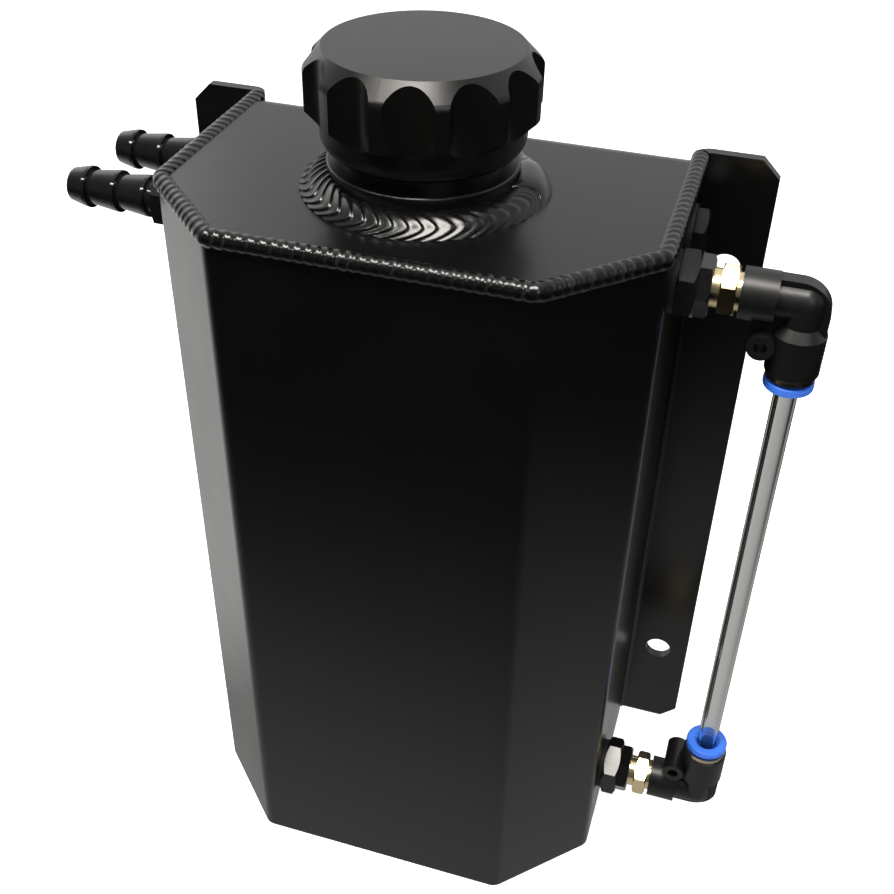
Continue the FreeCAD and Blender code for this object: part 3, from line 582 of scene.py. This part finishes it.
class TANK_OT_neck_bead(bpy.types.Operator):
    """Lays the crescents round the filler neck, with the blob where the weld ends"""

    bl_idname = "tank.neck_bead"
    bl_label = "Neck bead"

    def execute(self, context):
        sizes = context.scene.tank_neck_bead
        full_bulge = sizes.ripple_bulge / sizes.blob_out

        def place(span, station):
            distance, height = station
            facing = sizes.arc_middle - sizes.arc_half * span
            from_blob = min(distance, FULL_TURN - distance) * sizes.blob_out
            calm = min(1, max(0, from_blob - sizes.blob_along / 2) / sizes.blob_calm)
            valley = sizes.ripple_depth * calm * (1 - height)
            lens = max(0, 1 - (2 * from_blob / sizes.blob_along) ** 2) ** 0.5
            radius = sizes.bead_radius - valley + sizes.blob_lift * lens
            out = sizes.centre_radius + radius * math.cos(facing)
            up = radius * math.sin(facing) - sizes.centre_drop
            bulge = full_bulge * min(1, from_blob / sizes.blob_along)
            about = sizes.blob_turn + distance + bulge * crescent(span, sizes.crescent_lean)
            return Vector((out * math.cos(about), out * math.sin(about), plate_top + up))

        bm = bmesh.new()
        stations = ripple_stations(FULL_TURN, FULL_TURN / sizes.ripple_count, sizes.crest_at, seed=21)
        run_bead(bm, across_bead(12), stations, place)
        close_up(bm)
        piece = mesh_object("neck_bead", bm, bead_material(context), "tank")
        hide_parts("neck_weld")
        return {"FINISHED"}


def thread_ridge(sizes, root, height, turns, bottom):
    """A helical ridge that grows from the root by the height, inwards if that is negative."""
    bm = bmesh.new()
    foot, crest = sizes.ridge_foot / 2, sizes.ridge_crest / 2
    sunk = -math.copysign(sizes.ridge_sink, height)
    section = [(sunk, -foot), (0, -foot), (height, -crest), (height, crest), (0, foot), (sunk, foot)]
    verts = [bm.verts.new((root + out, 0, bottom + up)) for out, up in section]
    edges = [bm.edges.new(pair) for pair in zip(verts, verts[1:])]
    bmesh.ops.spin(
        bm,
        geom=[*verts, *edges],
        cent=(0, 0, 0),
        axis=(0, 0, 1),
        dvec=(0, 0, sizes.pitch / THREAD_STEPS),
        angle=turns * FULL_TURN,
        steps=int(turns * THREAD_STEPS),
    )
    bmesh.ops.recalc_face_normals(bm, faces=bm.faces)
    return bm


class TANK_OT_filler(bpy.types.Operator):
    """Finishes the neck, the cap and its seal, and cuts their threads"""

    bl_idname = "tank.filler"
    bl_label = "Filler"

    def execute(self, context):
        tints = context.scene.tank_tints
        anodised = grained_material(
            "anodised_black",
            tints.anodised,
            gloss=(0.27, 0.34),
            grain=(0.0002, 0.002, 0.3, 0.02),
            depth=0.000004,
        )
        dress(anodised, "filler_cap", "filler_neck")
        rubber = grained_material(
            "seal_rubber",
            tints.rubber,
            gloss=(0.5, 0.65),
            grain=(0.0003, 0.002, 0.4, 0.01),
            depth=0.00001,
        )
        seals = [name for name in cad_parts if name.startswith(("seal_", "washer_"))]
        dress(rubber, "cap_oring", *seals)
        self.cut_threads(context.scene.tank_thread, anodised)
        return {"FINISHED"}

    def cut_threads(self, sizes, material):
        plug = thread_ridge(
            sizes, sizes.plug_radius, sizes.ridge_height, sizes.plug_turns, plug_foot + sizes.plug_start
        )
        mesh_object("cap_thread", plug, material, "cap")
        bore = thread_ridge(
            sizes, sizes.bore_radius, -sizes.ridge_height, sizes.bore_turns, neck_foot + sizes.bore_start
        )
        mesh_object("neck_thread", bore, material, "tank")


class TANK_OT_fittings(bpy.types.Operator):
    """Finishes the hose barbs, the plug and the gauge's adaptors and studs"""

    bl_idname = "tank.fittings"
    bl_label = "Fittings"

    def execute(self, context):
        tints = context.scene.tank_tints
        fitting = grained_material(
            "fitting_black",
            tints.fitting,
            gloss=(0.12, 0.17),
            grain=(0.0003, 0.002, 0.3, 0.01),
            depth=0.000003,
        )
        dress(fitting, "barb_front", "barb_rear", "port_plug", "adaptor_upper", "adaptor_lower")
        brass = grained_material(
            "brass",
            tints.brass,
            gloss=(0.2, 0.3),
            grain=(0.0003, 0.002, 0.1, 0.006),
            depth=0.000002,
            metallic=1.0,
            variation=1.08,
        )
        dress(brass, "stud_upper", "stud_lower")
        return {"FINISHED"}


class TANK_OT_sight_gauge(bpy.types.Operator):
    """Finishes the elbows and their cartridges, and makes the clear tube"""

    bl_idname = "tank.sight_gauge"
    bl_label = "Sight gauge"

    def execute(self, context):
        tints = context.scene.tank_tints
        moulded = grained_material(
            "black_plastic",
            tints.moulded,
            gloss=(0.34, 0.44),
            grain=(0.0003, 0.002, 0.4, 0.008),
            depth=0.000008,
        )
        dress(moulded, "elbow_upper", "elbow_lower")
        sleeve = grained_material(
            "sleeve_plate",
            tints.sleeve,
            gloss=(0.22, 0.32),
            grain=(0.0003, 0.002, 0.3, 0.006),
            depth=0.000004,
            metallic=1.0,
            variation=1.08,
        )
        dress(sleeve, "sleeve_upper", "sleeve_lower")
        blue = grained_material(
            "blue_plastic",
            tints.collar,
            gloss=(0.3, 0.4),
            grain=(0.0003, 0.002, 0.4, 0.006),
            depth=0.000005,
            variation=1.08,
        )
        dress(blue, "collar_upper", "collar_lower")
        steel = grained_material(
            "spring_steel",
            tints.steel,
            gloss=(0.25, 0.35),
            grain=(0.0003, 0.002, 0.3, 0.005),
            depth=0.000003,
            metallic=1.0,
            variation=1.08,
        )
        dress(steel, "grip_upper", "grip_lower")
        sizes = context.scene.tank_tube
        self.make_tube(sizes, self.clear_material(sizes, tints))
        return {"FINISHED"}

    def clear_material(self, sizes, tints):
        material = grained_material(
            "clear_tube",
            tints.tube,
            gloss=(0.02, 0.05),
            grain=(0.001, 0.006, 0.8, 0.02),
            depth=0.000004,
            variation=1.004,
        )
        shader = material.node_tree.nodes["Principled BSDF"]
        shader.inputs["Transmission Weight"].default_value = 1.0
        shader.inputs["IOR"].default_value = sizes.refraction
        return material

    def make_tube(self, sizes, material):
        middle = (tube_low + tube_high) / 2
        outer = (tube_high.x - tube_low.x) / 2
        bore = outer - sizes.wall
        section = [
            (bore, tube_low.z),
            (outer - sizes.edge, tube_low.z),
            (outer, tube_low.z + sizes.edge),
            (outer, tube_high.z - sizes.edge),
            (outer - sizes.edge, tube_high.z),
            (bore, tube_high.z),
        ]
        bm = bmesh.new()
        verts = [bm.verts.new((middle.x + out, middle.y, up)) for out, up in section]
        edges = [bm.edges.new(pair) for pair in zip(verts, verts[1:] + verts[:1])]
        bmesh.ops.spin(
            bm,
            geom=[*verts, *edges],
            cent=(middle.x, middle.y, 0),
            axis=(0, 0, 1),
            angle=FULL_TURN,
            steps=TUBE_STEPS,
            use_merge=True,
        )
        close_up(bm)
        piece = mesh_object("clear_sight_tube", bm, material, "tank")
        piece.data.set_sharp_from_angle(angle=SHARP_EDGE)
        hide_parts("sight_tube")


def seen_directly(tree):
    """1 for rays from the camera or through the clear tube, and 0 for the others."""
    rays = tree.nodes.new("ShaderNodeLightPath").outputs
    return math_node(tree, "MAXIMUM", rays["Is Camera Ray"], rays["Is Transmission Ray"])


def coordinates(tree, kind):
    """The parts of a texture coordinate."""
    apart = tree.nodes.new("ShaderNodeSeparateXYZ")
    tree.links.new(tree.nodes.new("ShaderNodeTexCoord").outputs[kind], apart.inputs[0])
    return apart.outputs


def emission(tree, colour, strength):
    node = tree.nodes.new("ShaderNodeEmission")
    node.inputs["Color"].default_value = colour
    tree.links.new(strength, node.inputs["Strength"])
    return node.outputs[0]


def floor_material():
    """Pale paper to the eye; for the gloss of the pieces, two pools of light on a dark floor."""
    material = bpy.data.materials.new("floor_paper")
    material.use_nodes = True
    tree = material.node_tree
    tree.nodes.clear()
    where = coordinates(tree, "Object")
    nearness = mapped(tree, where["Y"], FRONT_POOL_Y, soft=True)
    fall = math_node(tree, "POWER", nearness, FRONT_POOL_FALL)
    front_share = math_node(tree, "MULTIPLY", fall, mapped(tree, where["X"], FRONT_POOL_X, soft=True))
    front_pool = math_node(tree, "MULTIPLY", front_share, FRONT_POOL_GLOW)
    left_x = mapped(tree, where["X"], LEFT_POOL_X, soft=True)
    left_y = mapped(tree, where["Y"], LEFT_POOL_Y, soft=True)
    left_pool = math_node(tree, "MULTIPLY", left_x, left_y)
    pools = emission(tree, (1, 0.99, 0.97, 1), math_node(tree, "MAXIMUM", front_pool, left_pool))
    glow = emission(tree, (1, 1, 0.99, 1), math_node(tree, "MULTIPLY", seen_directly(tree), FLOOR_GLOW))
    diffuse = tree.nodes.new("ShaderNodeBsdfDiffuse")
    diffuse.inputs["Color"].default_value = FLOOR_GREY
    paper = tree.nodes.new("ShaderNodeAddShader")
    tree.links.new(diffuse.outputs[0], paper.inputs[0])
    tree.links.new(glow, paper.inputs[1])
    either = tree.nodes.new("ShaderNodeMixShader")
    tree.links.new(tree.nodes.new("ShaderNodeLightPath").outputs["Is Glossy Ray"], either.inputs[0])
    tree.links.new(paper.outputs[0], either.inputs[1])
    tree.links.new(pools, either.inputs[2])
    output = tree.nodes.new("ShaderNodeOutputMaterial")
    tree.links.new(either.outputs[0], output.inputs["Surface"])
    return material


class TANK_OT_stage(bpy.types.Operator):
    """Sets up the floor, the light and the camera"""

    bl_idname = "tank.stage"
    bl_label = "Stage"

    def execute(self, context):
        scene = context.scene
        scene.view_settings.view_transform = "Standard"
        self.camera(scene)
        self.floor(scene)
        self.room(scene)
        for lamp in LAMPS:
            self.lamp(scene, *lamp)
        return {"FINISHED"}

    def camera(self, scene):
        settings = scene.tank_stage
        az, el, roll = settings.camera_azimuth, settings.camera_elevation, settings.camera_roll
        back = Vector((math.sin(az) * math.cos(el), -math.cos(az) * math.cos(el), math.sin(el)))
        right = Vector((math.cos(az), math.sin(az), 0))
        up = back.cross(right)
        turned_right = math.cos(roll) * right + math.sin(roll) * up
        turned_up = -math.sin(roll) * right + math.cos(roll) * up
        data = bpy.data.cameras.new("camera")
        data.lens = settings.lens
        data.sensor_width = 36
        data.clip_start = 0.01
        camera = bpy.data.objects.new("camera", data)
        rotation = Matrix((turned_right, turned_up, back)).transposed()
        camera.matrix_world = Matrix.Translation(settings.camera_place) @ rotation.to_4x4()
        scene.collection.objects.link(camera)
        scene.camera = camera

    def floor(self, scene):
        bm = bmesh.new()
        bmesh.ops.create_grid(bm, x_segments=1, y_segments=1, size=FLOOR_HALF)
        bmesh.ops.translate(bm, vec=(0, 0, base_low.z - FLOOR_GAP), verts=bm.verts)
        mesh = bpy.data.meshes.new("floor")
        bm.to_mesh(mesh)
        bm.free()
        floor = bpy.data.objects.new("floor", mesh)
        scene.collection.objects.link(floor)
        mesh.materials.append(floor_material())

    def room(self, scene):
        """White to the eye; a pale wall behind and a darker room in front for everything else."""
        world = bpy.data.worlds.new("studio")
        scene.world = world
        world.use_nodes = True
        tree = world.node_tree
        tree.nodes.clear()
        wall = mapped(tree, coordinates(tree, "Generated")["Y"], WALL_ENDS, WALL_TONES, soft=True)
        background = tree.nodes.new("ShaderNodeBackground")
        background.inputs["Color"].default_value = (1, 1, 1, 1)
        strength = math_node(tree, "MAXIMUM", seen_directly(tree), wall)
        tree.links.new(strength, background.inputs["Strength"])
        output = tree.nodes.new("ShaderNodeOutputWorld")
        tree.links.new(background.outputs[0], output.inputs["Surface"])

    def lamp(self, scene, name, place, width, height, watts, colour):
        data = bpy.data.lights.new(name, "AREA")
        data.shape = "RECTANGLE"
        data.size = width
        data.size_y = height
        data.energy = watts
        data.color = colour
        lamp = bpy.data.objects.new(name, data)
        lamp.location = place
        lamp.rotation_mode = "QUATERNION"
        lamp.rotation_quaternion = (LAMP_AIM - Vector(place)).to_track_quat("-Z", "Y")
        scene.collection.objects.link(lamp)


OPERATORS = (
    TANK_OT_sheet_metal,
    TANK_OT_top_seam,
    TANK_OT_rear_seams,
    TANK_OT_neck_bead,
    TANK_OT_filler,
    TANK_OT_fittings,
    TANK_OT_sight_gauge,
    TANK_OT_stage,
)


class TANK_PT_sidebar(bpy.types.Panel):
    """Lists the pieces of the tank"""

    bl_label = "Coolant tank"
    bl_idname = "TANK_PT_sidebar"
    bl_space_type = "VIEW_3D"
    bl_region_type = "UI"
    bl_category = "Tank"

    def draw(self, context):
        for operator in OPERATORS:
            self.layout.operator(operator.bl_idname)


GROUPS = {
    "tank_seam": TankSeamSizes,
    "tank_neck_bead": TankNeckBeadSizes,
    "tank_thread": TankThreadSizes,
    "tank_tube": TankTubeSizes,
    "tank_tints": TankFinishTints,
    "tank_stage": TankStageSettings,
}


def register():
    for kind in (*GROUPS.values(), *OPERATORS, TANK_PT_sidebar):
        bpy.utils.register_class(kind)
    for name, kind in GROUPS.items():
        setattr(bpy.types.Scene, name, PointerProperty(type=kind))


def unregister():
    for name in GROUPS:
        delattr(bpy.types.Scene, name)
    for kind in reversed((*GROUPS.values(), *OPERATORS, TANK_PT_sidebar)):
        bpy.utils.unregister_class(kind)


def main():
    register()
    bpy.ops.tank.sheet_metal()
    bpy.ops.tank.top_seam()
    bpy.ops.tank.rear_seams()
    bpy.ops.tank.neck_bead()
    bpy.ops.tank.filler()
    bpy.ops.tank.fittings()
    bpy.ops.tank.sight_gauge()
    bpy.ops.tank.stage()


if __name__ == "__main__":
    main()
